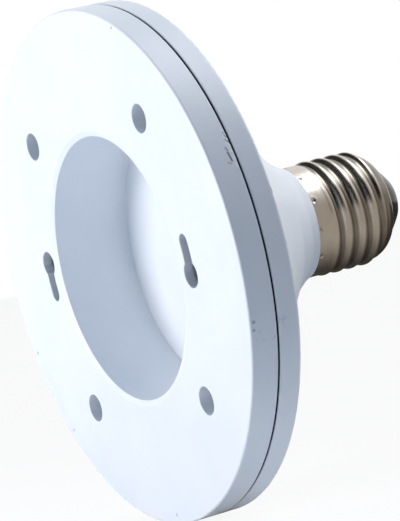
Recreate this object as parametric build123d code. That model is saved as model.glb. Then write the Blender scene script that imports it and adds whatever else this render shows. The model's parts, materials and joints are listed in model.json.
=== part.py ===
from build123d import *
import math
import os

# Lamp base adapter: a disc-shaped socket for a lamp with two pins on a 70 mm spacing, on a 27 mm screw cap.
# Stations are distances in mm behind the socket face, along the axis. The finished part is moved so
# that its origin is the tip of the screw cap, with the socket face towards -Y and +Z up.

# Disc and seam
disc_radius = 57.5
disc_depth = 12.0
face_wall = 2.2
back_wall = 2.0
cover_skirt_wall = 1.7
rim_wall = 3.1
face_edge_round = 0.5
back_edge_round = 0.9
seam_station = 6.5
seam_gap = 0.5
lap_length = 3.2
lap_clearance = 0.1

# Recess that takes the lamp's round boss
recess_radius = 29.6
recess_depth = 18.7
recess_mouth_round = 1.3
recess_corner_round = 0.8
cup_wall = 1.4

# Keyholes for the lamp's two pins, which stand this far outside the recess's wall, 70 mm apart
pin_circle_gap = 4.0
keyhole_head_radius = 3.2
keyhole_slot_width = 3.8
keyhole_head_angle = -6.3
keyhole_slot_angle = 5.3
keyhole_overcut = 1.1

# Screw wells, their screws and the bosses behind them
well_spacing_x = 56.2
well_spacing_z = 61.0
well_radius = 3.4
well_wall = 1.4
well_depth = 6.0
well_floor = 1.6
screw_head_radius = 2.75
screw_head_height = 1.8
screw_head_round = 0.7
screw_shank_radius = 1.4
screw_length = 5.0
screw_hole_clearance = 0.1
screw_cross_width = 0.7
screw_cross_span = 3.4
screw_cross_depth = 0.9
boss_radius = 3.6
pilot_extra_depth = 0.2

# Rear hub, bell and neck
lead_room = 2.8
hub_draft = 1.4
hub_overrun = 2.9
hub_foot_round = 1.6
bell_hollow = 0.2
bell_end_radius = 17.3
bell_end_station = 37.8
lip_start_radius = 14.05
lip_start_station = 42.2
housing_wall = 1.8
spigot_length = 3.4
lip_overhang = 0.25
neck_bore_radius = 8.5

# Screw shell of rolled sheet
shell_start_station = 44.6
skirt_radius = 12.7
skirt_length = 3.6
sheet_thickness = 0.35
thread_root_radius = 12.25
thread_crest_radius = 13.1
thread_pitch = 3.629
first_crest_station = 51.5
thread_run_in = 2.2
thread_end_station = 62.6
thread_run_out = 1.6
shoulder_station = 62.2
shoulder_fall = 1.5
shell_end_station = 66.3
shell_mouth_radius = 9.3
shell_fit_clearance = 0.05
sheet_rows = 40
sheet_columns = 28
shoulder_rows = 10
dimple_count = 12
dimple_first_angle = 19.6
dimple_setback = 0.75
dimple_radius = 0.55
dimple_depth = 0.25

# Insulator and centre contact at the end of the cap
insulator_flange_radius = 9.9
insulator_flange_thickness = 2.0
insulator_flange_drop = 0.6
insulator_foot_radius = 9.4
insulator_mid_radius = 7.1
insulator_mid_station = 68.8
insulator_tip_radius = 5.6
insulator_tip_station = 70.2
contact_radius = 4.7
contact_thickness = 0.5
contact_edge_round = 0.2
contact_proud = 0.2
contact_eye_radius = 0.9
contact_skirt_radius = 1.6
contact_skirt_length = 2.4
solder_bead_radius = 1.7
solder_bead_height = 0.5
solder_bead_round = 0.45

# Spring contacts behind the keyholes
post_radius = 2.3
post_height = 2.6
inner_post_share = 0.41
outer_post_share = 0.68
blade_thickness = 0.5
blade_width = 7.6
blade_outer_share = 0.8
blade_step_share = 0.25
blade_rise = 1.5
blade_tip_reach = 2.1
blade_bump_depth = 1.1
blade_bend_radius = 0.7
rivet_radius = 1.0
rivet_head_radius = 1.8
rivet_head_height = 0.6
rivet_head_round = 0.36
rivet_depth = 1.8
rivet_clearance = 0.03

# Ring terminals and insulated leads
terminal_ring_radius = 2.1
terminal_thickness = 0.5
terminal_tongue_width = 2.2
terminal_barrel_reach = 4.4
terminal_barrel_length = 3.6
terminal_barrel_wall = 0.3
terminal_crimp_lap = 0.4
wire_radius = 0.9
core_radius = 0.4
wire_clearance = 0.05
lead_angle = 30.0
lead_arc_share = 0.45
lead_rise = 12.4
lead_turn_reach = 9.6
lead_entry = 2.8
lead_bell_share = 0.775
lead_bell_drop = 3.1
lead_throat_side = 2.0
lead_throat_drop = 3.2
live_bore_radius = 2.4
neutral_throat_radius = 7.3
neutral_bore_radius = 5.0
neutral_last_radius = 9.3
live_cap_reach = 3.6
side_core_length = 1.6
side_solder_radius = 1.0

# Values that follow from the ones above
contact_top_station = insulator_tip_station + contact_proud
overall_length = contact_top_station + solder_bead_height
cup_radius = recess_radius + cup_wall
pin_circle_radius = cup_radius + pin_circle_gap
cup_floor_station = recess_depth + cup_wall
hub_end_radius = cup_radius + lead_room + housing_wall
hub_base_radius = hub_end_radius + hub_draft
hub_end_station = cup_floor_station + hub_overrun
bell_slope = math.atan2(hub_end_radius - bell_end_radius, bell_end_station - hub_end_station)
bell_mid_radius = (hub_end_radius + bell_end_radius) / 2 - bell_hollow * math.cos(bell_slope)
bell_mid_station = (hub_end_station + bell_end_station) / 2 - bell_hollow * math.sin(bell_slope)
cover_rim_station = seam_station - seam_gap / 2
housing_rim_station = seam_station + seam_gap / 2
plate_inside_station = disc_depth - back_wall
well_floor_station = well_depth + well_floor
screw_tip_station = well_depth + screw_length
hub_bore_radius = hub_base_radius - housing_wall
spigot_radius = skirt_radius - sheet_thickness - shell_fit_clearance
spigot_end_station = shell_start_station + spigot_length
blade_station = face_wall + post_height + blade_thickness / 2
blade_top_station = blade_station + blade_thickness / 2
contact_room = disc_radius - cover_skirt_wall - pin_circle_radius
inner_post_x = pin_circle_radius + inner_post_share * contact_room
outer_post_x = pin_circle_radius + outer_post_share * contact_room
blade_outer_x = pin_circle_radius + blade_outer_share * contact_room
blade_step_x = pin_circle_radius + blade_step_share * contact_room
slot_height = pin_circle_radius * math.sin(math.radians(keyhole_slot_angle))
live_lead_end = contact_top_station - live_cap_reach
live_core_length = live_cap_reach - contact_thickness - shell_fit_clearance
lead_lane_radius = cup_radius + lead_room / 2
barrel_station = blade_top_station + terminal_barrel_wall + wire_radius + wire_clearance
well_centres = [(x * well_spacing_x / 2, z * well_spacing_z / 2) for x in (1, -1) for z in (1, -1)]


def turned(*edges):
    """A solid of revolution about the axis, from an outline of (radius, station) edges."""
    return revolve(make_face(edges), Axis.Y)


def turned_polygon(*points):
    return turned(Polyline(*points, close=True))


def across(station):
    """The plane that faces out of the socket, with X across and Z up."""
    return Plane(origin=(0, station, 0), x_dir=(1, 0, 0), z_dir=(0, -1, 0))


def rod(x, z, radius, start, end):
    """A round bar along the axis direction, from one station to another."""
    return extrude(across(start) * Pos(x, z) * Circle(radius), -(end - start))


def other_side(shape):
    """The same piece turned half a turn about the axis, for the second keyhole."""
    return Rot(0, 180, 0) * shape


def keyhole():
    head = Rot(0, 0, keyhole_head_angle) * Pos(pin_circle_radius, 0) * Circle(keyhole_head_radius)
    slot_end = Rot(0, 0, keyhole_slot_angle) * Pos(pin_circle_radius, 0) * Circle(keyhole_slot_width / 2)
    travel = keyhole_slot_angle - keyhole_head_angle
    path = CenterArc((0, 0), pin_circle_radius, keyhole_head_angle, travel)
    outline = head + trace(path, keyhole_slot_width) + slot_end
    return extrude(across(0) * outline, -(face_wall + keyhole_overcut))


def front_cover():
    body = turned_polygon(
        (0, 0),
        (disc_radius, 0),
        (disc_radius, cover_rim_station),
        (disc_radius - cover_skirt_wall, cover_rim_station),
        (disc_radius - cover_skirt_wall, face_wall),
        (cup_radius, face_wall),
        (cup_radius, cup_floor_station),
        (0, cup_floor_station),
    )
    body -= rod(0, 0, recess_radius, 0, recess_depth)
    at_face = body.edges().filter_by(GeomType.CIRCLE).group_by(Axis.Y)[0].sort_by(SortBy.RADIUS)
    body = fillet(at_face[-1], face_edge_round)
    mouth = body.edges().filter_by(GeomType.CIRCLE).group_by(Axis.Y)[0].sort_by(SortBy.RADIUS)
    body = fillet(mouth[0], recess_mouth_round)
    corner = [
        edge
        for edge in body.edges().filter_by(GeomType.CIRCLE)
        if abs(edge.center().Y - recess_depth) < 0.01
    ]
    body = fillet(corner, recess_corner_round)
    for x, z in well_centres:
        body += rod(x, z, well_radius + well_wall, face_wall / 2, well_floor_station)
    for x, z in well_centres:
        body -= rod(x, z, well_radius, 0, well_depth)
        body -= rod(x, z, screw_shank_radius + screw_hole_clearance, well_depth, well_floor_station)
    posts = rod(inner_post_x, slot_height, post_radius, face_wall / 2, face_wall + post_height)
    posts += rod(outer_post_x, slot_height, post_radius, face_wall / 2, face_wall + post_height)
    hole_start = blade_station - blade_thickness / 2 - rivet_depth
    for x in (inner_post_x, outer_post_x):
        posts -= rod(x, slot_height, rivet_radius + rivet_clearance, hole_start, blade_station)
    for piece in (posts, other_side(posts)):
        body += piece
    for hole in (keyhole(), other_side(keyhole())):
        body -= hole
    return body


def bell_outline(inset):
    """The hub's and bell's outline in (radius, station), moved inwards by a wall thickness."""
    inwards = inset * math.cos(bell_slope)
    forwards = inset * math.sin(bell_slope)
    hub_base = (hub_base_radius - inset, disc_depth - inset)
    hub_end = (hub_end_radius - inset, hub_end_station - inset / 2)
    bell_mid = (bell_mid_radius - inwards, bell_mid_station - forwards)
    bell_end = (bell_end_radius - inwards, bell_end_station - forwards)
    return hub_base, hub_end, bell_mid, bell_end


def rear_housing():
    hub_base, hub_end, bell_mid, bell_end = bell_outline(0)
    lip_start = (lip_start_radius, lip_start_station)
    lip_end = (skirt_radius + lip_overhang, shell_start_station)
    outer = turned(
        Line(hub_base, hub_end),
        ThreePointArc(hub_end, bell_mid, bell_end),
        Polyline(bell_end, lip_start, lip_end, (0, shell_start_station), (0, hub_base[1]), hub_base),
    )
    plate = turned_polygon(
        (hub_bore_radius, plate_inside_station),
        (disc_radius - rim_wall, plate_inside_station),
        (disc_radius - rim_wall, housing_rim_station - lap_length),
        (disc_radius - cover_skirt_wall - lap_clearance, housing_rim_station - lap_length),
        (disc_radius - cover_skirt_wall - lap_clearance, housing_rim_station),
        (disc_radius, housing_rim_station),
        (disc_radius, disc_depth),
        (hub_bore_radius, disc_depth),
    )
    body = outer + plate + rod(0, 0, spigot_radius, shell_start_station, spigot_end_station)
    back_edge = [
        edge
        for edge in body.edges().filter_by(GeomType.CIRCLE)
        if abs(edge.radius - disc_radius) < 0.01 and abs(edge.center().Y - disc_depth) < 0.01
    ]
    body = fillet(back_edge, back_edge_round)
    foot = [
        edge
        for edge in body.edges().filter_by(GeomType.CIRCLE)
        if abs(edge.radius - hub_base_radius) < 0.01 and abs(edge.center().Y - disc_depth) < 0.01
    ]
    body = fillet(foot, hub_foot_round)
    in_base, in_end, in_mid, in_last = bell_outline(housing_wall)
    throat = (neck_bore_radius, lip_start_station - housing_wall)
    hollow = turned(
        Line(in_base, in_end),
        ThreePointArc(in_end, in_mid, in_last),
        Polyline(in_last, throat, (neck_bore_radius, spigot_end_station), (0, spigot_end_station)),
        Polyline((0, spigot_end_station), (0, in_base[1]), in_base),
    )
    body -= hollow
    for x, z in well_centres:
        body += rod(x, z, boss_radius, well_floor_station, plate_inside_station + back_wall / 2)
    for x, z in well_centres:
        pilot = screw_shank_radius + screw_hole_clearance / 2
        body -= rod(x, z, pilot, well_floor_station, screw_tip_station + pilot_extra_depth)
    return body


def cover_screw(x, z):
    screw = rod(x, z, screw_head_radius, well_depth - screw_head_height, well_depth)
    rim = screw.edges().filter_by(GeomType.CIRCLE).group_by(Axis.Y)[0]
    screw = fillet(rim, screw_head_round)
    screw += rod(x, z, screw_shank_radius, well_depth, screw_tip_station)
    cross = Rectangle(screw_cross_span, screw_cross_width) + Rectangle(screw_cross_width, screw_cross_span)
    top = well_depth - screw_head_height
    return screw - extrude(across(top) * Pos(x, z) * cross, -screw_cross_depth)


def smooth_step(value):
    value = min(1.0, max(0.0, value))
    return value * value * (3 - 2 * value)


def sheet_point(along, turn, depth):
    """A point of the rolled sheet, at a depth of 0 on its outer side and of its thickness on its inner.

    along runs from 0 at the skirt's edge to 1 at the shoulder and on to 2 at the shell's mouth,
    and turn is the share of a full turn round the axis, right-handed from the top.
    """
    if along <= 1:
        station = shell_start_station + (shoulder_station - shell_start_station) * along
        run_in = smooth_step((station - shell_start_station - skirt_length) / thread_run_in)
        radius = skirt_radius + (thread_root_radius - skirt_radius) * run_in - depth
    else:
        run_in = 1
        swing = (along - 1) * math.pi / 2
        station = shoulder_station + (shell_end_station - shoulder_station - depth) * math.sin(swing)
        fall = math.cos(swing) ** shoulder_fall
        radius = shell_mouth_radius + (thread_root_radius - shell_mouth_radius - depth) * fall
    run_out = smooth_step((thread_end_station + thread_run_out / 2 - station) / thread_run_out)
    phase = (station - first_crest_station) / thread_pitch - turn
    wave = 0.5 + 0.5 * math.cos(2 * math.pi * phase)
    radius += (thread_crest_radius - thread_root_radius) * wave * run_in * run_out
    angle = 2 * math.pi * turn
    return Vector(radius * math.sin(angle), station, radius * math.cos(angle))


def sheet_face(depth):
    rows = [row / sheet_rows for row in range(sheet_rows)]
    rows += [1 + row / shoulder_rows for row in range(shoulder_rows + 1)]
    turns = [column / sheet_columns for column in range(sheet_columns + 1)]
    points = [[sheet_point(row, turn, depth) for turn in turns] for row in rows]
    return Face.make_surface_from_array_of_points(points, tol=0.005)


def screw_shell():
    outer = sheet_face(0)
    inner = sheet_face(sheet_thickness)
    rings = []
    for end in (0, -1):
        outer_edge = outer.edges().filter_by(lambda edge: edge.is_closed).sort_by(Axis.Y)[end]
        inner_edge = inner.edges().filter_by(lambda edge: edge.is_closed).sort_by(Axis.Y)[end]
        rings.append(Face.make_surface_from_curves(outer_edge, inner_edge))
    body = Solid(Shell([outer, inner, *rings]))
    for number in range(dimple_count):
        angle = math.radians(dimple_first_angle + number * 360 / dimple_count)
        reach = skirt_radius + dimple_radius - dimple_depth
        place = Pos(reach * math.cos(angle), shell_start_station + dimple_setback, reach * math.sin(angle))
        body -= place * Sphere(dimple_radius)
    return body


def cap_insulator():
    mouth = shell_mouth_radius - shell_fit_clearance
    under_shoulder = shell_end_station - sheet_thickness - insulator_flange_drop
    seat_station = contact_top_station - contact_thickness
    foot_station = shell_end_station + shell_fit_clearance
    body = turned(
        Polyline(
            (0, under_shoulder - insulator_flange_thickness),
            (insulator_flange_radius, under_shoulder - insulator_flange_thickness),
            (insulator_flange_radius, under_shoulder),
            (mouth, under_shoulder),
            (mouth, foot_station),
            (insulator_foot_radius, foot_station),
        ),
        ThreePointArc(
            (insulator_foot_radius, foot_station),
            (insulator_mid_radius, insulator_mid_station),
            (insulator_tip_radius, insulator_tip_station),
        ),
        Polyline(
            (insulator_tip_radius, insulator_tip_station),
            (contact_radius + shell_fit_clearance, insulator_tip_station),
            (contact_radius + shell_fit_clearance, seat_station),
            (0, seat_station),
            (0, under_shoulder - insulator_flange_thickness),
        ),
    )
    bore = contact_skirt_radius + shell_fit_clearance
    return body - rod(0, 0, bore, under_shoulder - insulator_flange_thickness, seat_station)


def centre_contact():
    top = contact_top_station
    skirt_end = top - contact_thickness - contact_skirt_length
    plate = rod(0, 0, contact_radius, top - contact_thickness, top)
    plate = fillet(plate.edges().filter_by(GeomType.CIRCLE).group_by(Axis.Y)[-1], contact_edge_round)
    body = plate + rod(0, 0, contact_skirt_radius, skirt_end, top - contact_thickness)
    return body - rod(0, 0, contact_eye_radius, skirt_end, top)


def centre_solder():
    """The bead that closes the contact's eye over the end of the wire's core."""
    bead = rod(0, 0, solder_bead_radius, contact_top_station, overall_length)
    bead = fillet(bead.edges().filter_by(GeomType.CIRCLE).group_by(Axis.Y)[-1], solder_bead_round)
    plug_radius = contact_eye_radius - shell_fit_clearance
    return bead + rod(0, 0, plug_radius, contact_top_station - contact_thickness, contact_top_station)


def contact_blade():
    line = FilletPolyline(
        (blade_outer_x, blade_station),
        (blade_step_x + blade_rise / 2, blade_station),
        (blade_step_x - blade_rise / 2, blade_station + blade_rise),
        (pin_circle_radius + blade_bump_depth, blade_station + blade_rise),
        (pin_circle_radius, blade_station + blade_rise - blade_bump_depth),
        (pin_circle_radius - blade_bump_depth, blade_station + blade_rise),
        (pin_circle_radius - blade_tip_reach, blade_station + blade_rise),
        radius=blade_bend_radius,
    )
    strip = extrude(trace(line, blade_thickness), blade_width / 2, both=True)
    strip = Pos(0, 0, slot_height) * strip
    for x in (inner_post_x, outer_post_x):
        hole = rivet_radius + rivet_clearance
        strip -= rod(x, slot_height, hole, blade_station - blade_thickness, blade_station + blade_thickness)
    return strip


def contact_rivet(x, seat_station):
    start = blade_station - blade_thickness / 2 - rivet_depth
    head = rod(x, slot_height, rivet_head_radius, seat_station, seat_station + rivet_head_height)
    head = fillet(head.edges().filter_by(GeomType.CIRCLE).group_by(Axis.Y)[-1], rivet_head_round)
    return head + rod(x, slot_height, rivet_radius, start, seat_station)


def ring_terminal():
    ring = Circle(terminal_ring_radius)
    tongue = Pos(0, terminal_barrel_reach / 2) * Rectangle(terminal_tongue_width, terminal_barrel_reach)
    flat = across(blade_top_station) * Pos(outer_post_x, slot_height) * (ring + tongue)
    body = extrude(flat, -terminal_thickness)
    barrel_radius = wire_radius + wire_clearance + terminal_barrel_wall
    barrel_plane = Plane(
        origin=(outer_post_x, barrel_station, slot_height + terminal_barrel_reach - terminal_crimp_lap),
        x_dir=(1, 0, 0),
        z_dir=(0, 0, 1),
    )
    body += extrude(barrel_plane * Circle(barrel_radius), terminal_barrel_length)
    body -= extrude(barrel_plane * Circle(wire_radius + wire_clearance), terminal_barrel_length)
    hole = rivet_radius + rivet_clearance
    return body - rod(outer_post_x, slot_height, hole, blade_station, barrel_station)


def bend_radii(points):
    """The largest arcs that the runs on each side of every inner point leave room for."""
    radii = []
    for before, corner, after in zip(points, points[1:], points[2:]):
        run_in = Vector(*corner) - Vector(*before)
        run_out = Vector(*after) - Vector(*corner)
        half_angle = math.radians(run_in.get_angle(run_out)) / 2
        radii.append(lead_arc_share * min(run_in.length, run_out.length) / math.tan(half_angle))
    return radii


def lead(points, core_length):
    """An insulated wire along straight runs joined by arcs, with a bared core at its last end."""
    radii = bend_radii(points)
    print("lead bend radii", [round(radius, 1) for radius in radii])
    path = FilletPolyline(*points, radius=radii)
    start = Plane(origin=points[0], z_dir=Vector(*points[1]) - Vector(*points[0]))
    wire = sweep(start * Circle(wire_radius), path)
    direction = (Vector(*points[-1]) - Vector(*points[-2])).normalized()
    core = Plane(origin=points[-1], z_dir=direction) * Circle(core_radius)
    return wire + extrude(core, core_length)


def on_route(radius, station):
    """A point of the leads' way down from the disc to the neck, which lies in one plane."""
    angle = math.radians(lead_angle)
    return radius * math.cos(angle), station, radius * math.sin(angle)


def half_turn(points):
    return [(-x, y, -z) for x, y, z in points]


def bell_lane():
    """The radius and station of the leads' point half-way down the inside of the bell."""
    _, in_end, _, in_last = bell_outline(housing_wall)
    radius = in_end[0] + (in_last[0] - in_end[0]) * lead_bell_share
    return radius, in_end[1] + (in_last[1] - in_end[1]) * lead_bell_share - lead_bell_drop


throat_station = lip_start_station - housing_wall
live_points = [
    (outer_post_x, barrel_station, slot_height + terminal_barrel_reach + terminal_barrel_length / 2),
    (outer_post_x, barrel_station, slot_height + lead_rise),
    (outer_post_x - lead_turn_reach, barrel_station, slot_height + lead_rise + lead_turn_reach / 2),
    on_route(lead_lane_radius + lead_entry, plate_inside_station - lead_entry),
    on_route(lead_lane_radius, disc_depth),
    on_route(lead_lane_radius, cup_floor_station + lead_room * 0.75),
    on_route(*bell_lane()),
    on_route(neck_bore_radius - lead_throat_side, throat_station - lead_throat_drop),
    on_route(live_bore_radius, spigot_end_station - lead_room),
    on_route(live_bore_radius / 4, (spigot_end_station + live_lead_end) / 2),
    (0.0, live_lead_end - 2 * lead_room, 0.0),
    (0.0, live_lead_end, 0.0),
]
neutral_points = [
    *live_points[:7],
    on_route(neutral_throat_radius + lead_throat_side, throat_station - lead_throat_drop),
    on_route(neutral_bore_radius, throat_station + lead_throat_drop),
    on_route(neutral_bore_radius, spigot_end_station + lead_throat_side),
    on_route(neutral_last_radius, spigot_end_station + 3 * lead_room),
]
neutral_points = half_turn(neutral_points)


def side_solder():
    """The bead that joins the neutral core to the inside of the shell."""
    end = Vector(*neutral_points[-1])
    direction = (end - Vector(*neutral_points[-2])).normalized()
    place = end + direction * (side_core_length + shell_fit_clearance + side_solder_radius)
    return Pos(place) * Sphere(side_solder_radius)


def export(shape, name):
    export_step(Pos(0, -overall_length, 0) * shape, f"parts/{name}.step")


os.makedirs("parts", exist_ok=True)
export(front_cover(), "front_cover")
export(rear_housing(), "rear_housing")
export(screw_shell(), "screw_shell")
export(cap_insulator(), "cap_insulator")
export(centre_contact(), "centre_contact")
export(centre_solder(), "centre_solder")
export(contact_blade(), "live_contact")
export(other_side(contact_blade()), "neutral_contact")
inner_rivet = contact_rivet(inner_post_x, blade_top_station)
outer_rivet = contact_rivet(outer_post_x, blade_top_station + terminal_thickness)
for number, rivet in enumerate([inner_rivet, outer_rivet, other_side(inner_rivet), other_side(outer_rivet)]):
    export(rivet, f"contact_rivet_{number + 1}")
export(ring_terminal(), "live_terminal")
export(other_side(ring_terminal()), "neutral_terminal")
export(lead(live_points, live_core_length), "live_lead")
export(lead(neutral_points, side_core_length), "neutral_lead")
export(side_solder(), "side_solder")
for number, (x, z) in enumerate(well_centres):
    export(cover_screw(x, z), f"cover_screw_{number + 1}")
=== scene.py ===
# %% [markdown]
# # A lamp base adapter, dressed in Blender
# The adapter is a flat white disc that takes a lamp with two pins, on a flared neck that ends in a
# screw cap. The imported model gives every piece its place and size, and this lesson rebuilds the
# pieces that show, gives each one its finish and lights them as for a catalogue photograph.
# It starts by loading that model, because everything after this is placed by it.

import bmesh
import bpy
import json
import math
from mathutils import Matrix, Vector, noise

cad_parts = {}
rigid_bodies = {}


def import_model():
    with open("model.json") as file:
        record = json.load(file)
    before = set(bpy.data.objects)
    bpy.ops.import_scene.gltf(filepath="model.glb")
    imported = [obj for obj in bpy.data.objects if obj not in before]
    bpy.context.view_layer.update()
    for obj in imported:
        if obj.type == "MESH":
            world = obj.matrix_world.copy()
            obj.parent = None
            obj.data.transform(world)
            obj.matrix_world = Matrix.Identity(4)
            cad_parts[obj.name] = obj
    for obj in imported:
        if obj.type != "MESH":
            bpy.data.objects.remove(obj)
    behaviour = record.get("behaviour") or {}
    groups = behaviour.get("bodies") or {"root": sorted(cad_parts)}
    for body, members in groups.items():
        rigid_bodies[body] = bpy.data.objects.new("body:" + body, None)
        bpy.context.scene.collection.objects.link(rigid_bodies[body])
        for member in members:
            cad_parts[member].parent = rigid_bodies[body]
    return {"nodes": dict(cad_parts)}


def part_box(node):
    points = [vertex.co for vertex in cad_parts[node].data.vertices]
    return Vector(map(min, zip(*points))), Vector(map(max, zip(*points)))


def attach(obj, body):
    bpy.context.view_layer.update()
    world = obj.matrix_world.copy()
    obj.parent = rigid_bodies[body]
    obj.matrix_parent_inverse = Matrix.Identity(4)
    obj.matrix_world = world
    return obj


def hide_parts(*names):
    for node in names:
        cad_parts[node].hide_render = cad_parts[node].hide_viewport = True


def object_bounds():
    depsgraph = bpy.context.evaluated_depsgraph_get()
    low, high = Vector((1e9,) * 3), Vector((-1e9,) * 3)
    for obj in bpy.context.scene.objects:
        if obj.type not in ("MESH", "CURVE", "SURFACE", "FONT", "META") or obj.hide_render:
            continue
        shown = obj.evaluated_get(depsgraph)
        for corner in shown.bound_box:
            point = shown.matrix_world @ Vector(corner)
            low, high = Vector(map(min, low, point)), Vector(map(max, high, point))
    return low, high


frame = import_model()
cad_box = [list(corner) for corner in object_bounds()]
bpy.ops.object.select_all(action="DESELECT")
MM = 0.001
socket_face_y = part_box("front_cover")[0][1]
print("nodes", len(frame["nodes"]), "box", cad_box, "socket face at", round(socket_face_y, 5))

# %% [markdown]
# ## The camera
# The photograph looks at the socket face from its right, almost level and with the camera leaning.
# The lens is long, so the disc hardly tapers. A camera could be aimed with a constraint, but three
# plain axes worked out from the angles place it exactly and keep its lean.

# %% Camera
camera_azimuth = math.radians(63.223)
camera_elevation = math.radians(2.188)
camera_lean = math.radians(-13.45)
camera_distance = 0.63667
camera_aside = 0.01832
camera_raise = 0.00193
focal_pixels = 2914.1
picture_height = 521
sensor_width = 36

back = Vector((
    math.sin(camera_azimuth) * math.cos(camera_elevation),
    -math.cos(camera_azimuth) * math.cos(camera_elevation),
    math.sin(camera_elevation),
))
level = Vector((math.cos(camera_azimuth), math.sin(camera_azimuth), 0))
upright = back.cross(level)
picture_right = level * math.cos(camera_lean) + upright * math.sin(camera_lean)
picture_up = upright * math.cos(camera_lean) - level * math.sin(camera_lean)
face_centre = Vector((0, socket_face_y, 0))
eye = face_centre + back * camera_distance + picture_right * camera_aside + picture_up * camera_raise

bpy.ops.object.camera_add(location=eye)
camera = bpy.context.active_object
camera.name = "camera"
camera.rotation_mode = "QUATERNION"
camera.rotation_quaternion = Matrix((picture_right, picture_up, back)).transposed().to_quaternion()
camera.data.sensor_width = sensor_width
camera.data.lens = focal_pixels * sensor_width / picture_height
bpy.context.scene.camera = camera
print("lens", round(camera.data.lens, 1), "eye", [round(c, 4) for c in eye])

# %% [markdown]
# ## A way to shape turned pieces
# Most pieces of the adapter are round, and so are the moulds and lathes that made them. A piece is
# drawn as an outline of radius and distance behind the socket face, in millimetres, and a corner may
# have a round. A ring is added with as many points as the piece has steps, then its edge is extruded
# again and again, and each new ring is put on the next point of the outline. The same few lines also
# serve for rings that aren't round, such as a keyhole or a rolled thread.

# %% Outlines with rounded corners
CLOSE = 0.12  # from an arc's end to the extra point that keeps the flat beside it flat


def rounded(outline, closed, steps=5):
    """Replace each corner that has a round by the points of its arc, with a point close to each end."""
    points = []
    for number, (radius, station, *round_size) in enumerate(outline):
        corner = Vector((radius, station))
        at_end = number in (0, len(outline) - 1)
        if not round_size or (at_end and not closed):
            points.append(corner)
            continue
        size = round_size[0]
        before = Vector(outline[number - 1][:2]) - corner
        after = Vector(outline[(number + 1) % len(outline)][:2]) - corner
        to_before, to_after = before.normalized(), after.normalized()
        half = before.angle(after) / 2
        reach = size / math.tan(half)
        middle = corner + (to_before + to_after).normalized() * size / math.sin(half)
        start = corner + to_before * reach
        end = corner + to_after * reach
        if before.length > reach + 3 * CLOSE:
            points.append(start + to_before * CLOSE)
        first = (start - middle).normalized()
        last = (end - middle).normalized()
        points += [middle + first.slerp(last, step / steps) * size for step in range(steps + 1)]
        if after.length > reach + 3 * CLOSE:
            points.append(end + to_after * CLOSE)
    return [tuple(point) for point in points]


def arc_through(start, middle, end, steps):
    """Points of (radius, station) on the circle through three points."""
    a, b, c = (Vector(point) for point in (start, middle, end))
    ab, ac = b - a, c - a
    cross = 2 * (ab.x * ac.y - ab.y * ac.x)
    across = ac.y * ab.length_squared - ab.y * ac.length_squared
    along = ab.x * ac.length_squared - ac.x * ab.length_squared
    offset = Vector((across, along)) / cross
    centre = a + offset
    first, last = (a - centre).normalized(), (c - centre).normalized()
    size = (a - centre).length
    return [tuple(centre + first.slerp(last, step / steps) * size) for step in range(steps + 1)]


print("a rounded corner has", len(rounded([(0, 0), (5, 0, 1), (5, 5)], False)) - 2, "points")

# %% Rings extruded one after another
WELD = 2e-7  # metres within which two points of a piece are one


def place(radius, station, angle, x=0, z=0):
    """The spot at a radius and an angle round an axis through (x, z), all lengths in millimetres."""
    return Vector((
        x * MM + radius * MM * math.cos(angle),
        socket_face_y + station * MM,
        z * MM + radius * MM * math.sin(angle),
    ))


def full_turn(steps):
    return [2 * math.pi * step / steps for step in range(steps)]


def ring_piece(name, rings, ends="loop"):
    """A piece made by extruding a ring's edge from one list of places to the next."""
    bpy.ops.mesh.primitive_circle_add(vertices=len(rings[0]), radius=MM, fill_type="NOTHING")
    piece = bpy.context.active_object
    piece.name = name
    bpy.ops.object.mode_set(mode="EDIT")
    bpy.ops.mesh.select_mode(type="VERT")
    bpy.ops.mesh.select_all(action="SELECT")
    mesh = bmesh.from_edit_mesh(piece.data)
    order = list(mesh.verts)
    for vertex, spot in zip(order, rings[0]):
        vertex.co = spot
    for ring in rings[1:]:
        where = {tuple(vertex.co): number for number, vertex in enumerate(order)}
        bpy.ops.mesh.extrude_region_move()
        mesh = bmesh.from_edit_mesh(piece.data)
        order = sorted((v for v in mesh.verts if v.select), key=lambda v: where[tuple(v.co)])
        for vertex, spot in zip(order, ring):
            vertex.co = spot
    bmesh.update_edit_mesh(piece.data)
    if ends == "poles":
        bpy.ops.mesh.merge(type="CENTER")
        mesh = bmesh.from_edit_mesh(piece.data)
        first = {tuple(round(c, 7) for c in spot) for spot in rings[0]}
        for vertex in mesh.verts:
            vertex.select = tuple(round(c, 7) for c in vertex.co) in first
        mesh.select_flush(True)
        bmesh.update_edit_mesh(piece.data)
        bpy.ops.mesh.merge(type="CENTER")
    bpy.ops.mesh.select_all(action="SELECT")
    bpy.ops.mesh.remove_doubles(threshold=WELD)
    bpy.ops.mesh.normals_make_consistent(inside=False)
    bpy.ops.object.mode_set(mode="OBJECT")
    return piece


def turned_rings(outline, steps, x=0, z=0):
    angles = full_turn(steps)
    return [[place(radius, station, angle, x, z) for angle in angles] for radius, station in outline]


def turned(name, outline, steps, ends="loop", x=0, z=0):
    rings = turned_rings(outline, steps, x, z)
    if ends == "loop":
        rings.append(rings[0])
    return ring_piece(name, rings, ends)


def pick_only(piece):
    bpy.ops.object.select_all(action="DESELECT")
    piece.select_set(True)
    bpy.context.view_layer.objects.active = piece


def combine(piece, operation, tools):
    """Add the tools' shapes to a piece, or cut them out of it, and remove the tools."""
    pick_only(tools[0])
    for tool in tools[1:]:
        tool.select_set(True)
    if len(tools) > 1:
        bpy.ops.object.join()
    tool = bpy.context.active_object
    pick_only(piece)
    modifier = piece.modifiers.new("shape", "BOOLEAN")
    modifier.operation = operation
    modifier.solver = "EXACT"
    modifier.object = tool
    bpy.ops.object.modifier_apply(modifier=modifier.name)
    bpy.data.objects.remove(tool)


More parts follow.
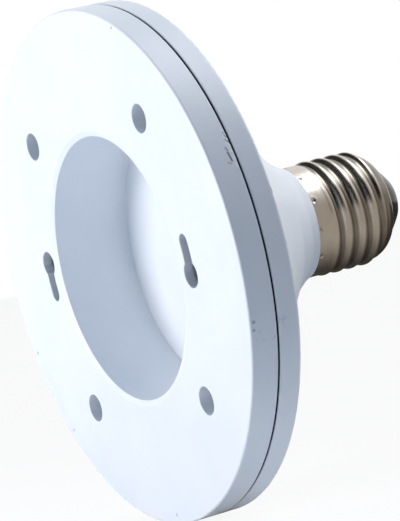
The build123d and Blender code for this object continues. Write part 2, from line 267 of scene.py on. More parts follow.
def finish_surface(piece, smooth_angle=32, weigh=True):
    """Smooth shading with crisp edges, and flats that stay flat where the piece has any."""
    pick_only(piece)
    bpy.ops.object.shade_smooth_by_angle(angle=math.radians(smooth_angle))
    if weigh:
        modifier = piece.modifiers.new("even", "WEIGHTED_NORMAL")
        modifier.keep_sharp = True
        modifier.weight = 100
        bpy.ops.object.modifier_apply(modifier=modifier.name)
    print(piece.name, "faces", len(piece.data.polygons))


def stand_for(piece, slot, *nodes):
    """The piece takes the place of these nodes and rides with the adapter."""
    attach(piece, "root")
    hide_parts(*nodes)


# %% [markdown]
# ## The front cover
# The cover is one white moulding: a flat ring, a skirt that reaches back to the seam, and the wall
# and floor of the round recess. It is turned as one outline from the middle of the recess floor
# outwards over the face and back inside. The screw wells, the screw holes and the two keyholes are
# cut with tools. Those for wells and keyholes flare a little at the face, so each has the small
# round that a mould leaves.

# %% Sizes of the cover
AXIS = 0.05  # the radius at which an outline ends, before its last ring is drawn together
disc_radius = 57.5
recess_radius = 29.6
recess_depth = 18.7
mouth_bevel = 1.3
mouth_bevel_depth = 0.4
cup_radius = 31.0
cup_back = 20.1
face_wall = 2.2
in_face_wall = face_wall / 2
cover_skirt = 1.7
cover_rim = 6.25
housing_rim = 6.75
hole_round = 0.25

well_places = [(x * 28.1, z * 30.5) for x in (1, -1) for z in (1, -1)]
well_radius = 3.1
well_depth = 6.0
well_wall_radius = 4.8
well_wall_end = 7.6
screw_hole_radius = 1.5

pin_radius = 35.0
keyhole_head_angle = math.radians(-5.95)
keyhole_slot_angle = math.radians(5.5)
keyhole_head_radius = 2.85
keyhole_half_slot = 1.68

contact_z = pin_radius * math.sin(math.radians(5.3))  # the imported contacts' height, not the slot's
post_places = [(side * x, side * contact_z) for side in (1, -1) for x in (43.53, 49.14)]
post_radius = 2.3
post_end = 4.8
rivet_hole_radius = 1.03

# %% Cover turned
cover_outline = rounded([
    (AXIS, recess_depth),
    (recess_radius, recess_depth, 0.35),
    (recess_radius, mouth_bevel_depth, 0.14),
    (recess_radius + mouth_bevel, 0, 0.2),
    (disc_radius, 0, 0.5),
    (disc_radius, cover_rim, 0.18),
    (disc_radius - cover_skirt, cover_rim),
    (disc_radius - cover_skirt, face_wall, 0.4),
    (cup_radius, face_wall),
    (cup_radius, cup_back, 0.4),
    (AXIS, cup_back),
], closed=False, steps=6)
front_cover = turned("front_cover_shell", cover_outline, 256, "poles")

# %% Keyhole tool


def around(radius, angle):
    return Vector((radius * math.cos(angle), radius * math.sin(angle)))


def keyhole_places(grow, station, side):
    """The keyhole's outline grown outwards, with the same number of points for any growth."""
    head_radius = keyhole_head_radius + grow
    half_slot = keyhole_half_slot + grow
    middle = around(pin_radius, keyhole_head_angle)
    edges = []
    for sign in (1, -1):
        reach = pin_radius + sign * half_slot
        swing = (pin_radius ** 2 + reach ** 2 - head_radius ** 2) / (2 * pin_radius * reach)
        meet = keyhole_head_angle + math.acos(min(1, swing))
        to_meet = around(reach, meet) - middle
        run = [around(reach, meet + (keyhole_slot_angle - meet) * n / 4) for n in range(5)]
        edges.append((math.atan2(to_meet.y, to_meet.x), run))
    (outer_angle, outer_run), (inner_angle, inner_run) = edges
    end = around(pin_radius, keyhole_slot_angle)
    outline = list(outer_run)
    outline += [end + around(half_slot, keyhole_slot_angle + math.pi * step / 12) for step in range(1, 12)]
    outline += reversed(inner_run)
    sweep = (outer_angle - inner_angle) % (2 * math.pi)
    outline += [middle + around(head_radius, inner_angle + sweep * step / 36) for step in range(1, 36)]
    return [Vector((side * p.x * MM, socket_face_y + station * MM, side * p.y * MM)) for p in outline]


def flared(depth, grow_to_places):
    """Rings for a tool that is widest just outside the face and straight below its round."""
    outside = 0.4
    rings = [grow_to_places(hole_round + outside, -outside)]
    for step in range(6):
        angle = math.pi / 2 * step / 5
        rings.append(grow_to_places(hole_round * (1 - math.sin(angle)), hole_round * (1 - math.cos(angle))))
    rings.append(grow_to_places(0, depth))
    return rings


def close_ends(piece):
    """Fill both open ends of a tool."""
    pick_only(piece)
    bpy.ops.object.mode_set(mode="EDIT")
    bpy.ops.mesh.select_all(action="DESELECT")
    bpy.ops.mesh.select_mode(type="EDGE")
    bpy.ops.mesh.select_non_manifold()
    bpy.ops.mesh.edge_face_add()
    bpy.ops.mesh.select_all(action="SELECT")
    bpy.ops.mesh.normals_make_consistent(inside=False)
    bpy.ops.object.mode_set(mode="OBJECT")
    return piece


keyhole_tools = []
for side in (1, -1):
    rings = flared(face_wall + 1.1, lambda grow, station: keyhole_places(grow, station, side))
    keyhole_tools.append(close_ends(ring_piece("keyhole_tool", rings, "open")))
print("keyhole tool points", [len(tool.data.vertices) for tool in keyhole_tools])

# %% Wells, posts and holes


def round_tool(x, z, radius, depth, steps=48):
    def grown(grow, station):
        return [place(radius + grow, station, angle, x, z) for angle in full_turn(steps)]
    return close_ends(ring_piece("well_tool", flared(depth, grown), "open"))


def plain_rod(name, x, z, radius, start, end, steps=32):
    rings = turned_rings([(radius, start), (radius, end)], steps, x, z)
    return close_ends(ring_piece(name, rings, "open"))


def rods(name, places, radius, start, end, steps=32):
    return [plain_rod(name, x, z, radius, start, end, steps) for x, z in places]


well_walls = rods("well_wall", well_places, well_wall_radius, in_face_wall, well_wall_end, 48)
posts = rods("post", post_places, post_radius, in_face_wall, post_end)
combine(front_cover, "UNION", well_walls + posts)
wells = [round_tool(x, z, well_radius, well_depth) for x, z in well_places]
screw_holes = rods("screw_hole", well_places, screw_hole_radius, well_depth - 0.5, well_wall_end + 0.4)
rivet_holes = rods("rivet_hole", post_places, rivet_hole_radius, post_end - 1.8, post_end + 0.6)
combine(front_cover, "DIFFERENCE", wells)
combine(front_cover, "DIFFERENCE", screw_holes + rivet_holes)
combine(front_cover, "DIFFERENCE", keyhole_tools)
finish_surface(front_cover)
stand_for(front_cover, "white_plastic", "front_cover")

# %% [markdown]
# ## The rear housing
# The second white moulding closes the disc from behind and carries the hub, the flared bell and the
# neck. It is a hollow turned wall, so its outline runs all the way round and closes on itself. Four
# bosses inside take the cover's screws.

# %% Sizes of the housing
housing_back = 12.0
back_inside = 10.0
hub_foot = (37.0, housing_back)
hub_end = (35.6, 23.0)
bell_middle = (26.4, 30.2)
bell_end = (17.3, 37.8)
lip_start = (14.05, 42.2)
lip_end = (12.95, 44.6)
housing_wall = 1.8
hub_bore = 35.2
neck_bore = 8.5
neck_bore_start = 40.4
spigot_radius = 12.3
spigot_end = 48.0
lap_inner, lap_outer = 54.2, 55.7
lap_start = 3.55
boss_radius = 3.6
pilot_radius = 1.45
pilot_start, pilot_end = 7.0, 11.2

# %% Rear housing turned
bell = arc_through(hub_end, bell_middle, bell_end, 24)
bell_slope = math.atan2(hub_end[0] - bell_end[0], bell_end[1] - hub_end[1])
inset = (housing_wall * math.cos(bell_slope), housing_wall * math.sin(bell_slope))
inner_bell = arc_through(
    (hub_end[0] - housing_wall, hub_end[1] - housing_wall / 2),
    (bell_middle[0] - inset[0], bell_middle[1] - inset[1]),
    (bell_end[0] - inset[0], bell_end[1] - inset[1]),
    12,
)
housing_outline = rounded([
    (disc_radius, housing_rim, 0.18),
    (disc_radius, housing_back, 0.9),
    (*hub_foot, 1.6),
    (*hub_end, 0.8),
    *bell[2:-1],
    (*bell_end, 1.2),
    (*lip_start, 0.35),
    (*lip_end, 0.12),
    (spigot_radius, lip_end[1]),
    (spigot_radius, spigot_end),
    (neck_bore, spigot_end),
    (neck_bore, neck_bore_start),
    *reversed(inner_bell),
    (hub_bore, back_inside + 0.2),
    (hub_bore, back_inside),
    (lap_inner, back_inside),
    (lap_inner, lap_start),
    (lap_outer, lap_start),
    (lap_outer, housing_rim),
], closed=True, steps=6)
rear_housing = turned("rear_housing_shell", housing_outline, 256)
in_back_wall = (back_inside + housing_back) / 2
combine(rear_housing, "UNION", rods("boss", well_places, boss_radius, well_wall_end, in_back_wall, 40))
combine(rear_housing, "DIFFERENCE", rods("pilot", well_places, pilot_radius, pilot_start, pilot_end))
finish_surface(rear_housing)
stand_for(rear_housing, "white_plastic", "rear_housing")

# %% [markdown]
# ## The screw shell
# The cap's shell is thin nickel-plated sheet, rolled into a thread. A lathe thread would be sharp,
# but rolled sheet follows a soft wave that climbs as it goes round, so each ring's radius comes from
# that wave. The wall's thickness is added afterwards by Solidify. Twelve small dents near its edge
# hold the shell on the neck, and they are pushed in point by point, as a crimping tool does.

# %% Rolled thread
shell_start = lip_end[1]
shoulder = 62.2
shell_end = 66.3
shell_wall = 0.35
mouth_radius = 9.3
skirt_radius = 12.7
root_radius = 12.25
crest_radius = 13.1
thread_pitch = 3.629
first_crest = 51.5
run_in_start, run_in_length = shell_start + 3.6, 2.2
run_out_end, run_out_length = 63.4, 1.6

dent_station = shell_start + 0.75
dent_angles = [math.radians(19.6 + 30 * number) for number in range(12)]
dent_depth, dent_reach = 0.34, 0.33
dent_lip, dent_lip_away, dent_lip_reach = 0.05, 0.75, 0.3

edge_rows, edge_row = 20, 0.15
thread_rows = 76
shoulder_rows = 24


def ease(value):
    value = min(1.0, max(0.0, value))
    return value * value * (3 - 2 * value)


def shell_radius(station, angle):
    """The sheet's outer radius at a station and an angle from +X towards +Z."""
    climb = (math.pi / 2 - angle) / (2 * math.pi)
    run_in = ease((station - run_in_start) / run_in_length)
    run_out = ease((run_out_end - station) / run_out_length)
    wave = 0.5 + 0.5 * math.cos(2 * math.pi * ((station - first_crest) / thread_pitch - climb))
    radius = skirt_radius + (root_radius - skirt_radius) * run_in
    if station > shoulder:
        slide = (station - shoulder) / (shell_end - shoulder)
        radius = mouth_radius + (root_radius - mouth_radius) * (1 - min(1.0, slide) ** 2) ** 0.75
    return radius + (crest_radius - root_radius) * wave * run_in * run_out


def dent(station, angle):
    """How deep a crimp mark presses the sheet here, with the small lip it raises."""
    depth = 0.0
    for centre in dent_angles:
        across = (angle - centre + math.pi) % (2 * math.pi) - math.pi
        apart = math.hypot(across * skirt_radius, station - dent_station)
        depth += dent_depth * math.exp(-(apart / dent_reach) ** 2)
        depth -= dent_lip * math.exp(-((apart - dent_lip_away) / dent_lip_reach) ** 2)
    return depth


def shell_ring(station, dented=False):
    return [
        place(shell_radius(station, angle) - (dent(station, angle) if dented else 0), station, angle)
        for angle in full_turn(240)
    ]


thread_start = shell_start + edge_rows * edge_row
stations = [shell_start + edge_row * n for n in range(edge_rows)]
stations += [thread_start + (shoulder - thread_start) * n / thread_rows for n in range(thread_rows + 1)]
shell_rings = [shell_ring(station, station < shell_start + 2) for station in stations]
for row in range(1, shoulder_rows + 1):
    slide = math.sin(math.pi / 2 * row / shoulder_rows)
    shell_rings.append(shell_ring(shoulder + (shell_end - shoulder) * slide))
screw_shell = ring_piece("screw_shell_rolled", shell_rings, "open")
wall = screw_shell.modifiers.new("wall", "SOLIDIFY")
wall.thickness = shell_wall * MM
wall.offset = -1
bpy.ops.object.modifier_apply(modifier=wall.name)
finish_surface(screw_shell, smooth_angle=60, weigh=False)
outward = sum(f.normal.dot(Vector((f.center.x, 0, f.center.z))) > 0 for f in screw_shell.data.polygons)
print("shell faces that point outwards", outward, "of", len(screw_shell.data.polygons))
stand_for(screw_shell, "nickel_shell", "screw_shell")

# %% [markdown]
# ## The end of the cap
# A black insulator closes the shell and carries the centre contact, a small disc with a bead of
# solder on it. The insulator is a turned dome. Solder never sets quite round, so the bead's rings
# get a little unevenness from noise, which is the same each time.

# %% Insulator, contact and solder
insulator_foot = 63.35
insulator_step = 65.35
insulator_end = 70.2
stem_radius = 1.65
contact_seat = 69.9
contact_top = 70.4
contact_bore = 0.9

insulator_dome = arc_through((9.4, 66.35), (7.1, 68.8), (5.6, insulator_end), 16)
insulator_outline = rounded([
    (stem_radius, insulator_foot),
    (9.9, insulator_foot, 0.3),
    (9.9, insulator_step),
    (9.25, insulator_step),
    (9.25, 66.35),
    *insulator_dome[:-1],
    (5.6, insulator_end, 0.25),
    (4.75, insulator_end, 0.12),
    (4.75, contact_seat),
    (stem_radius, contact_seat),
], closed=True)
cap_insulator = turned("cap_insulator_dome", insulator_outline, 128)
finish_surface(cap_insulator)
stand_for(cap_insulator, "black_insulator", "cap_insulator")

contact_outline = rounded([
    (contact_bore, 67.5),
    (1.6, 67.5, 0.15),
    (1.6, contact_seat),
    (4.7, contact_seat),
    (4.7, contact_top, 0.22),
    (contact_bore, contact_top, 0.15),
], closed=True)
centre_contact = turned("centre_contact_disc", contact_outline, 96)
finish_surface(centre_contact)
stand_for(centre_contact, "contact_brass", "centre_contact")

bead_pole = 0.04
bead_profile = [
    (0.85, contact_seat), (0.85, 70.38), (1.2, 70.41), (1.65, 70.43), (1.6, 70.56),
    (1.35, 70.71), (0.9, 70.82), (0.45, 70.88), (bead_pole, 70.9),
]
bead_rings = [[place(bead_pole, contact_seat, angle) for angle in full_turn(40)]]
for radius, station in bead_profile:
    ring = []
    for angle in full_turn(40):
        spot = Vector((2 * math.cos(angle), 2 * math.sin(angle), 7.0))
        wobble = 0.0 if radius < 1 else 0.09 * noise.noise(spot)
        ring.append(place(radius + wobble, station, angle))
    bead_rings.append(ring)
centre_solder = ring_piece("centre_solder_bead", bead_rings, "poles")
finish_surface(centre_solder, smooth_angle=50)
stand_for(centre_solder, "solder", "centre_solder")

# %% [markdown]
# ## The cover's screws
# Four small pan-head screws hold the cover, sunk in the wells. Each one is turned from the same
# outline, and its cross is cut with two slim blocks that taper to the bottom. The crosses stand at
# different angles, because nobody lines screws up.

# %% Screws
screw_pole = 0.03
head_radius, head_top = 2.75, 4.2
shank_radius, shank_end = 1.4, 10.4
screw_tip = 11.0
screw_outline = rounded([
    (screw_pole, head_top),
    (head_radius, head_top, 0.7),
    (head_radius, well_depth),
    (shank_radius, well_depth),
    (shank_radius, shank_end, 0.1),
    (0.6, screw_tip),
    (screw_pole, screw_tip),
], closed=False)


def cross_block(x, z, turned_by):
    """A slim block, narrower at its bottom, that cuts one arm of the cross."""
    ca, sa = math.cos(turned_by), math.sin(turned_by)
    rings = []
    for station, long_half, slim_half in ((4.0, 1.75, 0.37), (4.2, 1.7, 0.35), (5.1, 1.25, 0.25)):
        ring = []
        for a, b in ((1, 1), (-1, 1), (-1, -1), (1, -1)):
            u, v = a * long_half, b * slim_half
            across, up = x + u * ca - v * sa, z + u * sa + v * ca
            ring.append(Vector((across * MM, socket_face_y + station * MM, up * MM)))
        rings.append(ring)
    return close_ends(ring_piece("cross_block", rings, "open"))


for number, ((x, z), turned_by) in enumerate(zip(well_places, (0.3, 1.1, 0.7, 0.0))):
    screw = turned(f"cover_screw_head_{number + 1}", screw_outline, 48, "poles", x, z)
    combine(screw, "DIFFERENCE", [cross_block(x, z, turned_by)])
    combine(screw, "DIFFERENCE", [cross_block(x, z, turned_by + math.pi / 2)])
    finish_surface(screw)
    stand_for(screw, "screw_steel", f"cover_screw_{number + 1}")

# %% [markdown]
# ## Writing finishes as formulas
# A material's pattern is easier to read as arithmetic than as a web of nodes. This small class holds
# one output of a node, and adding, multiplying or subtracting it writes the Math node for it.

# %% Finish helpers


class Wire:
    """One output of a shader node, on which sums and products may be written."""

    def __init__(self, finish, socket):
        self.finish = finish
        self.socket = socket

    def __add__(self, other):
        return self.finish.maths("ADD", self, other)

    __radd__ = __add__

    def __mul__(self, other):
        return self.finish.maths("MULTIPLY", self, other)

    __rmul__ = __mul__

    def __sub__(self, other):
        return self.finish.maths("SUBTRACT", self, other)

    def __rsub__(self, other):
        return self.finish.maths("SUBTRACT", other, self)


class Finish:
    """A material with its main shader and a method that adds any node."""

    def __init__(self, name):
        self.material = bpy.data.materials.new(name)
        self.material.use_nodes = True
        self.tree = self.material.node_tree
        self.shader = self.tree.nodes["Principled BSDF"]
        self.place = self.wire("ShaderNodeTexCoord", output="Object")

    def node(self, kind, settings=None, **inputs):
        """A node with its inputs fed by name, or by number where the name is i0, i1 and so on."""
        made = self.tree.nodes.new(kind)
        for key, value in (settings or {}).items():
            setattr(made, key, value)
        for key, value in inputs.items():
            numbered = key[0] == "i" and key[1:].isdigit()
            self.feed(made.inputs[int(key[1:]) if numbered else key.replace("_", " ")], value)
        return made

    def wire(self, kind, settings=None, output=0, **inputs):
        """The same, but gives one of the node's outputs."""
        return Wire(self, self.node(kind, settings, **inputs).outputs[output])

    def feed(self, socket, value):
        if isinstance(value, Wire):
            self.tree.links.new(value.socket, socket)
        else:
            socket.default_value = value

    def maths(self, operation, a, b=0.0):
        return self.wire("ShaderNodeMath", {"operation": operation}, i0=a, i1=b)

    def vectors(self, operation, output, *values):
        inputs = {f"i{number}": value for number, value in enumerate(values)}
        return self.wire("ShaderNodeVectorMath", {"operation": operation}, output, **inputs)

    def parts(self):
        """The place's x, y and z."""
        spread = self.node("ShaderNodeSeparateXYZ", Vector=self.place)
        return [Wire(self, spread.outputs[n]) for n in range(3)]

    def grain(self, scale, detail=3.0, stretch=None, roughness=0.5):
        """Noise of a given number of waves per metre, stretched if asked."""
        spot = self.place
        if stretch:
            spot = self.wire("ShaderNodeMapping", Vector=spot, Scale=stretch)
        return self.wire("ShaderNodeTexNoise", Vector=spot, Scale=scale, Detail=detail, Roughness=roughness)

    def between(self, value, low, high, to_low=0.0, to_high=1.0):
        """A soft step from one value to another while the input goes from low to high."""
        ranges = {"From_Min": low, "From_Max": high, "To_Min": to_low, "To_Max": to_high}
        return self.wire("ShaderNodeMapRange", {"interpolation_type": "SMOOTHSTEP"}, Value=value, **ranges)

    def near(self, spot, reach, soft=0.5):
        """One at a spot of the surface and nothing beyond its reach in metres."""
        apart = self.vectors("DISTANCE", "Value", self.place, spot)
        return self.between(apart, reach * soft, reach, 1.0, 0.0)

    def dash(self, start, end, width):
        """One along a line between two spots and nothing beyond its half width in metres."""
        way = end - start
        offset = self.vectors("SUBTRACT", 0, self.place, start)
        along = self.vectors("DOT_PRODUCT", "Value", offset, way / way.length_squared)
        share = self.maths("MINIMUM", self.maths("MAXIMUM", along), 1.0)
        on_line = self.vectors("MULTIPLY_ADD", 0, share, way, start)
        apart = self.vectors("DISTANCE", "Value", self.place, on_line)
        return self.between(apart, width * 0.35, width, 1.0, 0.0)

    def mix(self, share, first, second):
        made = self.node("ShaderNodeMix", {"data_type": "RGBA"}, i0=share, i6=first, i7=second)
        return Wire(self, made.outputs[2])

    def bump(self, height, strength, distance):
        made = self.wire("ShaderNodeBump", Height=height, Strength=strength, Distance=distance)
        self.feed(self.shader.inputs["Normal"], made)

    def give(self, **sockets):
        for key, value in sockets.items():
            self.feed(self.shader.inputs[key.replace("_", " ")], value)

    def surface(self, made):
        self.tree.links.new(made.outputs[0], self.tree.nodes["Material Output"].inputs["Surface"])


def colour(red, green, blue):
    return (red, green, blue, 1.0)


def dress(finish, *objects):
    for obj in objects:
        obj.data.materials.clear()
        obj.data.materials.append(finish.material)


# %% [markdown]
# ## White moulded plastic
# The mouldings are a cool white with a satin skin, and the seam between them is painted dark navy
# as the shade in its gap. Up close the skin has a very fine unevenness from the mould, a faint cloudiness
# in its colour, and a few grey specks and scuffs from handling, which sit where the photograph shows them.
# At one place of the seam a torn edge of the moulding has left a paler strip and dark nicks.

# %% White plastic


def on_rim(degrees, station):
    return place(disc_radius, station, math.radians(degrees))


def on_face(x, z):
    return Vector((x * MM, socket_face_y, z * MM))


white = Finish("satin_white_moulding")
cloud = white.grain(45, 4.0)
skin = white.grain(2600, 2.0)
mould_flow = white.grain(240, 3.0)
cloudy, clear = colour(0.79, 0.825, 0.875), colour(0.825, 0.85, 0.89)
tone = white.mix(white.between(cloud, 0.35, 0.65), cloudy, clear)

specks = [  # spot, reach
    (on_face(25.4, 50.4), 0.55), (on_face(-52.8, -16.5), 0.6), (on_face(-42.9, -35.3), 0.5),
    (on_face(0.9, -55.4), 0.5), (on_face(25.9, -51.8), 0.5),
    (on_rim(-15.3, 1.0), 0.6), (on_rim(-17.0, 0.9), 0.5),
]
dirt_and_shadow = 0.0
for spot, reach in specks:
    dirt_and_shadow = white.near(spot, reach * MM, 0.2) * 0.55 + dirt_and_shadow

scuffs = ((on_rim(-16.5, 7.8), 2.4), (on_rim(-18.5, 2.8), 2.2), (on_rim(-19.0, 5.6), 1.6))
scuff_grain = white.between(white.grain(900, 4.0), 0.5, 0.62)
for spot, reach in scuffs:
    dirt_and_shadow = white.near(spot, reach * MM, 0.1) * scuff_grain * 0.16 + dirt_and_shadow

# Paler strip of the torn flash: partly the torn plastic's own paler colour, partly a painted highlight on
# its raised flakes.
torn = white.between(white.grain(1400, 3.0), 0.36, 0.56)
flash_and_highlight = white.dash(on_rim(24.2, 6.15), on_rim(16.9, 6.1), 1.1 * MM) * torn
tone = white.mix(flash_and_highlight * 0.9, tone, colour(0.97, 0.98, 0.99))

# Dark nicks and scuffs; those along the torn flash are partly painted shadow under its raised flakes.
nicks_and_shadows = (  # start and end on the rim, half width, darkness
    ((20.72, 4.87), (20.16, 5.07), 0.36, 0.5), ((19.69, 4.94), (17.8, 5.16), 0.3, 0.85),
    ((17.52, 4.23), (17.25, 4.78), 0.26, 0.4), ((22.5, 5.66), (21.81, 6.09), 0.24, 0.7),
    ((23.49, 5.82), (22.93, 6.01), 0.24, 0.6), ((24.4, 5.8), (23.86, 5.85), 0.22, 0.45),
    ((21.55, 6.27), (21.36, 6.55), 0.3, 0.95), ((10.5, 11.45), (9.4, 11.55), 0.2, 0.6),
    ((-0.9, 11.6), (-1.8, 11.62), 0.22, 0.6), ((-6.5, 11.65), (-7.3, 11.7), 0.24, 0.65),
)
for start, end, width, depth in nicks_and_shadows:
    dirt_and_shadow = white.dash(on_rim(*start), on_rim(*end), width * MM) * depth + dirt_and_shadow
# Specks, scuffs and nicks darken the tone, with painted shadow under the torn flakes among them.
tone = white.mix(white.maths("MINIMUM", dirt_and_shadow, 1.0), tone, colour(0.085, 0.09, 0.10))


def axis_distance(finish, x_out, z_out):
    return finish.maths("SQRT", x_out * x_out + z_out * z_out)


x_out, y_out, z_out = white.parts()
from_axis = axis_distance(white, x_out, z_out)
seam_middle = socket_face_y + (cover_rim + housing_rim) / 2 * MM
from_seam = white.maths("ABSOLUTE", y_out - seam_middle)
below_rim = white.between(from_axis, 57.05 * MM, 57.42 * MM, 1.0, 0.0)
outside_lap = white.between(from_axis, 54.0 * MM, 55.0 * MM)
# Painted shade: the seam's gap and the groove behind it are darkened to a dark navy, as the shade that
# falls there.
seam_shade = below_rim * outside_lap * white.between(from_seam, 0.26 * MM, 0.6 * MM, 1.0, 0.0)
tone = white.mix(seam_shade, tone, colour(0.030, 0.040, 0.058))
white.give(Base_Color=tone, Roughness=0.34 + 0.12 * mould_flow, IOR=1.49)
white.bump(skin * 0.5 + mould_flow + 1.6 * flash_and_highlight - 1.2 * dirt_and_shadow, 0.12, 0.00012)
dress(white, front_cover, rear_housing)
print("white finish nodes", len(white.tree.nodes))

# %% [markdown]
# ## Nickel plate, insulator, brass, solder and steel
# Rolled nickel is bright on its crests, and the roots of the thread are painted darker and browner,
# partly as tarnish where handling never polishes it and partly as a painted dark reflection in the grooves.
# Fine lines run round it from the rolling. The other metals are small and get the same treatment in their
# own colours.

# %% Nickel
nickel = Finish("warm_nickel_plate")
x_out, _, z_out = nickel.parts()
from_axis = axis_distance(nickel, x_out, z_out)
in_root = nickel.between(from_axis, (root_radius + 0.08) * MM, (root_radius + 0.42) * MM, 1.0, 0.0)
rolling = nickel.grain(1.0, 2.0, stretch=(90, 5200, 90))
tarnish = nickel.grain(160, 4.0)
bright_nickel, worn_nickel = colour(0.62, 0.585, 0.54), colour(0.56, 0.525, 0.48)
worn = nickel.mix(nickel.between(tarnish, 0.3, 0.7), bright_nickel, worn_nickel)
# The thread roots darken: partly tarnish, partly a painted dark reflection in the grooves.
root_tarnish_and_reflection = in_root * nickel.between(tarnish, 0.3, 0.7, 0.75, 0.9)
tone = nickel.mix(root_tarnish_and_reflection, worn, colour(0.20, 0.18, 0.155))
nickel.give(Base_Color=tone, Metallic=1.0, Roughness=0.17 + 0.1 * tarnish + 0.06 * rolling)
nickel.bump(rolling + 0.6 * tarnish, 0.10, 0.00008)
dress(nickel, screw_shell)

# %% Insulator, brass, solder and steel
black = Finish("glossy_black_insulator")
flow = black.grain(180, 3.0)
black.give(
    Base_Color=black.mix(flow, colour(0.006, 0.008, 0.018), colour(0.014, 0.017, 0.032)),
    Roughness=0.10 + 0.14 * flow,
    IOR=1.52,
    Specular_IOR_Level=0.2,
)
black.bump(flow, 0.15, 0.0001)
dress(black, cap_insulator)


def plain_metal(name, bright, dull, rough, waves):
    finish = Finish(name)
    wear = finish.grain(waves, 4.0)
    fine = finish.grain(waves * 9, 2.0)
    tone = finish.mix(finish.between(wear, 0.3, 0.7), bright, dull)
    finish.give(Base_Color=tone, Metallic=1.0, Roughness=rough + 0.18 * wear)
    finish.bump(wear + 0.4 * fine, 0.2, 0.00006)
    return finish


brass = plain_metal("rolled_brass", colour(0.72, 0.54, 0.25), colour(0.48, 0.34, 0.15), 0.24, 420)
solder = plain_metal("dull_solder", colour(0.62, 0.62, 0.61), colour(0.38, 0.38, 0.37), 0.30, 700)
steel = plain_metal("zinc_steel", colour(0.60, 0.60, 0.60), colour(0.36, 0.36, 0.37), 0.28, 500)
tinned = plain_metal("tinned_contact", colour(0.66, 0.62, 0.54), colour(0.42, 0.38, 0.31), 0.26, 420)
sleeve = Finish("lead_sleeve")
dust = sleeve.grain(700, 3.0)
sleeve_tone = sleeve.mix(dust, colour(0.74, 0.74, 0.71), colour(0.62, 0.61, 0.58))
sleeve.give(Base_Color=sleeve_tone, Roughness=0.5 + 0.2 * dust)
sleeve.bump(dust, 0.2, 0.00008)

nodes = frame["nodes"]
dress(tinned, centre_contact)
dress(solder, centre_solder, nodes["side_solder"])
dress(steel, *(bpy.data.objects[f"cover_screw_head_{n}"] for n in (1, 2, 3, 4)))
brass_nodes = [f"contact_rivet_{n}" for n in (1, 2, 3, 4)]
brass_nodes += [f"{pole}_{part}" for pole in ("live", "neutral") for part in ("contact", "terminal")]
dress(brass, *(nodes[name] for name in brass_nodes))
dress(sleeve, nodes["live_lead"], nodes["neutral_lead"])
print("brass on", sorted(brass_nodes))

# %% [markdown]
# ## Floor, light and background
# A pale floor touches the disc's lowest point, darker behind the disc and to its right, so that it
# throws less light on the neck and the rim. Big soft lamps stand in front on the left, above and
# behind. The background is plain white to the camera and in reflections, and a quieter cool light
# otherwise, so that the whites keep shape.

# %% Floor
lowest = cad_box[0][2]


def level_sheet(name, size, location, cuts=2):
    bpy.ops.mesh.primitive_grid_add(x_subdivisions=cuts, y_subdivisions=cuts, size=size, location=location)
    made = bpy.context.active_object
    made.name = name
    return made


floor = level_sheet("floor", 3.0, (0, 0, lowest - 0.0002), cuts=4)
paper = Finish("pale_paper_floor")
light_path = paper.node("ShaderNodeLightPath")
seen, mirrored, through = (
    Wire(paper, light_path.outputs[f"Is {kind} Ray"]) for kind in ("Camera", "Glossy", "Transmission")
)
x_out, y_out, _ = paper.parts()
right_of_disc = paper.maths("MAXIMUM", x_out - 0.085, 0.0)
front_share = paper.between(y_out + 3.0 * right_of_disc, -0.12, 0.03, 1.0, 0.0)
dark_paper, bright_paper = colour(0.42, 0.45, 0.49), colour(0.90, 0.94, 0.98)
paper.give(Base_Color=paper.mix(front_share, dark_paper, bright_paper), Roughness=0.9)
glow = paper.node("ShaderNodeEmission", Color=colour(1, 1, 1), Strength=1.0)
blend = paper.node("ShaderNodeMixShader")
paper.feed(blend.inputs[0], paper.maths("MINIMUM", seen * 0.92 + mirrored + through, 1.0))
paper.tree.links.new(paper.shader.outputs[0], blend.inputs[1])
paper.tree.links.new(glow.outputs[0], blend.inputs[2])
paper.surface(blend)
dress(paper, floor)

# %% World
world = bpy.data.worlds.new("studio")
bpy.context.scene.world = world
world.use_nodes = True
tree = world.node_tree


def larger(first, second):
    made = tree.nodes.new("ShaderNodeMath")
    made.operation = "MAXIMUM"
    tree.links.new(first, made.inputs[0])
    tree.links.new(second, made.inputs[1])
    return made.outputs[0]


path = tree.nodes.new("ShaderNodeLightPath")
plain = tree.nodes["Background"]
plain.inputs["Color"].default_value = colour(0.46, 0.68, 1.0)
plain.inputs["Strength"].default_value = 0.36
paper_white = tree.nodes.new("ShaderNodeBackground")
paper_white.inputs["Color"].default_value = colour(1, 1, 1)
paper_white.inputs["Strength"].default_value = 1.0
shown = larger(path.outputs["Is Camera Ray"], path.outputs["Is Glossy Ray"])
choose = tree.nodes.new("ShaderNodeMixShader")
tree.links.new(larger(shown, path.outputs["Is Transmission Ray"]), choose.inputs[0])
tree.links.new(plain.outputs[0], choose.inputs[1])
tree.links.new(paper_white.outputs[0], choose.inputs[2])
tree.links.new(choose.outputs[0], tree.nodes["World Output"].inputs["Surface"])

# %% Lamps


def soft_lamp(name, location, size, power, tint=(1.0, 1.0, 1.0)):
    """A square lamp, aimed at a spot near the adapter's middle."""
    bpy.ops.object.light_add(type="AREA", location=location)
    lamp = bpy.context.active_object
    lamp.name = name
    lamp.data.shape = "SQUARE"
    lamp.data.size = size
    lamp.data.energy = power
    lamp.data.color = tint
    aim = Vector((0, -0.03, 0)) - Vector(location)
    lamp.rotation_euler = aim.to_track_quat("-Z", "Y").to_euler()
    return lamp


soft_lamp("front_lamp", (-0.35, -1.3, 0.22), 0.8, 16.9, (1.0, 0.975, 0.945))
soft_lamp("top_lamp", (0.1, 0.5, 1.05), 0.7, 7.0)
back_lamp = soft_lamp("back_lamp", (0.15, 1.25, 0.4), 0.8, 8.0)
back_lamp.visible_glossy = False

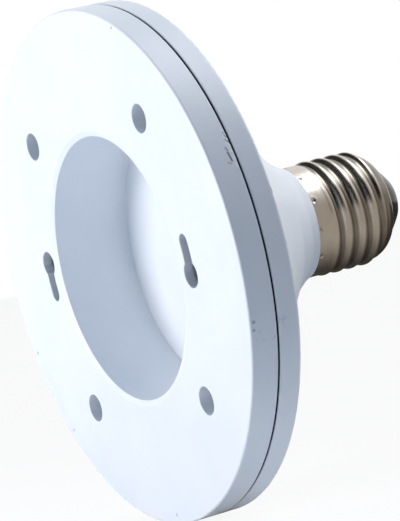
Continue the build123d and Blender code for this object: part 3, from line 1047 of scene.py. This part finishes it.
# %% [markdown]
# ## Dark flags for the metal
# Metal shows its surroundings, and bright all round it would look like white paint. Photographers
# stand a dark card beside polished metal, out of the picture. Here a bent card stands on the
# camera's side and behind, dark at its foot and pale at its top. A mat lies on the floor, and a hood
# hangs above, dark on its front side. Only reflections see them, so they cast no shade.

# %% Dark card, mat and hood
mat_height = lowest + 0.0005
hood_height = 1.2
card_headings = (-80, 166)

bpy.ops.mesh.primitive_cylinder_add(
    vertices=96, radius=0.9, depth=1.3, end_fill_type="NOTHING", location=(0, 0, 0.54),
)
card = bpy.context.active_object
card.name = "dark_card"
bpy.ops.object.mode_set(mode="EDIT")
bpy.ops.mesh.select_all(action="DESELECT")
sheet = bmesh.from_edit_mesh(card.data)
for face in sheet.faces:
    centre = face.calc_center_median()
    heading = math.degrees(math.atan2(centre.y, centre.x))
    face.select = not card_headings[0] < heading < card_headings[1]
bmesh.update_edit_mesh(card.data)
bpy.ops.mesh.delete(type="FACE")
bpy.ops.object.mode_set(mode="OBJECT")
bpy.ops.object.transform_apply(location=True)
mat = level_sheet("dark_mat", 1.6, (0.3, 0.45, mat_height))
bpy.ops.object.transform_apply(location=True)
hood = level_sheet("dark_hood", 3.4, (-0.8, 0.2, hood_height))
bpy.ops.object.transform_apply(location=True)

# %% Tones of the flags
shade = Finish("card_shade")
x_out, y_out, height = shade.parts()
heading = shade.maths("ARCTAN2", y_out, x_out)


def headed(low, high, *ends):
    return shade.between(heading, math.radians(low), math.radians(high), *ends)


shadow, dark = colour(0.010, 0.010, 0.008), colour(0.060, 0.054, 0.045)
middle, pale = colour(0.50, 0.45, 0.40), colour(0.95, 0.95, 0.94)
on_mat = shade.between(height, mat_height + 0.0005, mat_height + 0.0015, 1.0, 0.0)
tone = shade.mix(shade.between(x_out, -0.03, 0.06), dark, middle)
tone = shade.mix(on_mat, middle, tone)
behind = headed(50, 95) * shade.between(height, 0.06, 0.24)
far_side = headed(112, 128) * (1 - on_mat)
tone = shade.mix(shade.maths("MAXIMUM", behind, far_side), tone, pale)
tone = shade.mix(shade.between(height, 0.40, 0.85) * headed(20, 40), tone, pale)
tone = shade.mix(headed(-8, 22, 1.0, 0.0) * shade.between(height, 0.02, 0.14), tone, shadow)
on_hood = shade.between(height, hood_height - 0.0015, hood_height - 0.0005)
hood_tone = shade.mix(shade.between(y_out + 0.42 * x_out, -0.25, -0.08), shadow, pale)
tone = shade.mix(on_hood, tone, hood_tone)
shade.surface(shade.node("ShaderNodeEmission", Color=tone, Strength=1.0))
dress(shade, card, mat, hood)
for flag in (card, mat, hood):
    flag.visible_camera = False
    flag.visible_diffuse = False
    flag.visible_shadow = False
    flag.visible_transmission = False
print("card faces", len(card.data.polygons))

# %% [markdown]
# ## A black board beside the rim
# The photograph's rim is greyer than its face. A photographer gets that with a black board out of the
# picture: it stands behind the face's plane, so it takes light from the rim and neck only, and the
# recess and the wells keep theirs. The camera and the metal don't see it.

# %% Shade board
board = level_sheet("shade_board", 1.0, (0.32, 0.27, 0.22))
board.rotation_euler = (0, math.pi / 2, 0)
board.scale = (0.55, 0.66, 1)
bpy.ops.object.transform_apply(location=True, rotation=True, scale=True)
felt = Finish("black_felt")
felt.give(Base_Color=colour(0.02, 0.02, 0.02), Roughness=0.9)
dress(felt, board)
board.visible_camera = False
board.visible_glossy = False
board.visible_transmission = False

# %% View transform
scene = bpy.context.scene
scene.view_settings.view_transform = "Standard"
print("cad", cad_box)
